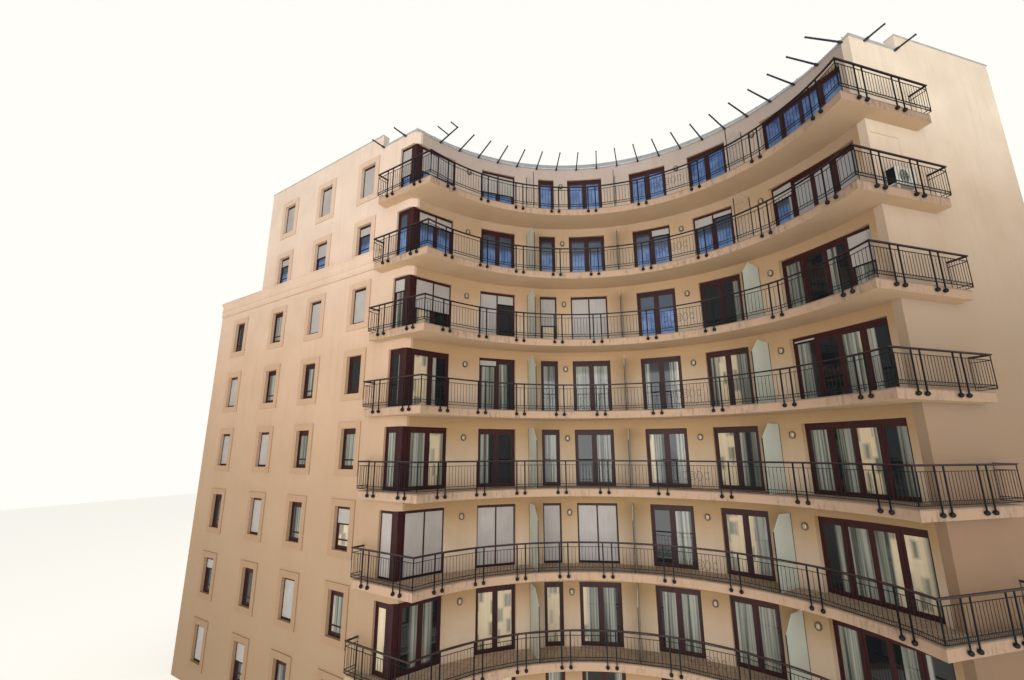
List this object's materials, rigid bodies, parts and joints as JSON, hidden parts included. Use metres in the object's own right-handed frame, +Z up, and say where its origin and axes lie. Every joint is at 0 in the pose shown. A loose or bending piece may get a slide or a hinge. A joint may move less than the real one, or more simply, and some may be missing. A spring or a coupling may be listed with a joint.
{
  "type": "apartment block",
  "caption": "Apartment block with a concave front of wrap-around balconies, a straight wing stepping down to a roof terrace and a short return wall.",
  "frame": {"origin": "ground level, in the middle of the thickness of the curved front wall and of its arc", "axes": "+Z up, -Y towards the courtyard along the axis of the curved front, +X to the right seen from the courtyard"},
  "size_m": [36.7619, 16.8556, 24.88],
  "materials": {
    "wall_render": "smooth painted render",
    "concrete": "cast concrete",
    "painted_iron": "satin dark paint",
    "stained_timber": "dark red stain, satin varnish",
    "zinc_sheet": "weathered zinc sheet",
    "window_glass": "clear double glazing",
    "screen_glass": "frosted glass",
    "lamp_glass": "opal glass",
    "shutter_slats": "matt slats",
    "casing_paint": "semi-matt white paint"
  },
  "bodies": {
    "root": {"court_wall_1": "wall_render", "court_wall_2": "wall_render", "court_wall_3": "wall_render", "court_wall_4": "wall_render", "court_wall_5": "wall_render", "court_wall_6": "wall_render", "court_wall_7": "wall_render", "door_lintels": "wall_render", "wing_wall_lower": "wall_render", "wing_wall_upper": "wall_render", "side_wall": "wall_render", "back_wall_lower": "wall_render", "back_wall_upper": "wall_render", "end_walls": "wall_render", "floor_slabs": "concrete", "roof_slab": "concrete", "balcony_slab_1": "wall_render", "balcony_slab_2": "wall_render", "balcony_slab_3": "wall_render", "balcony_slab_4": "wall_render", "balcony_slab_5": "wall_render", "balcony_slab_6": "wall_render", "balcony_slab_7": "wall_render", "railing_1": "painted_iron", "railing_2": "painted_iron", "railing_3": "painted_iron", "railing_4": "painted_iron", "railing_5": "painted_iron", "railing_6": "painted_iron", "railing_7": "painted_iron", "handrails": "stained_timber", "privacy_screens": "screen_glass", "screen_posts": "painted_iron", "wall_lamps": "lamp_glass", "lamp_rims": "painted_iron", "roof_bars": "painted_iron", "roof_gutter": "zinc_sheet", "roof_edge": "zinc_sheet", "parapet_coping": "zinc_sheet", "band_course": "wall_render", "window_surrounds": "wall_render", "corner_posts": "stained_timber", "balcony_doors": "stained_timber", "wide_doors": "stained_timber", "corner_doors": "stained_timber", "windows": "stained_timber", "entrance_door": "stained_timber", "glass_panes": "window_glass", "roller_shutters": "shutter_slats", "shutter_bars": "painted_iron", "air_conditioner": "casing_paint"}
  },
  "joints": []
}
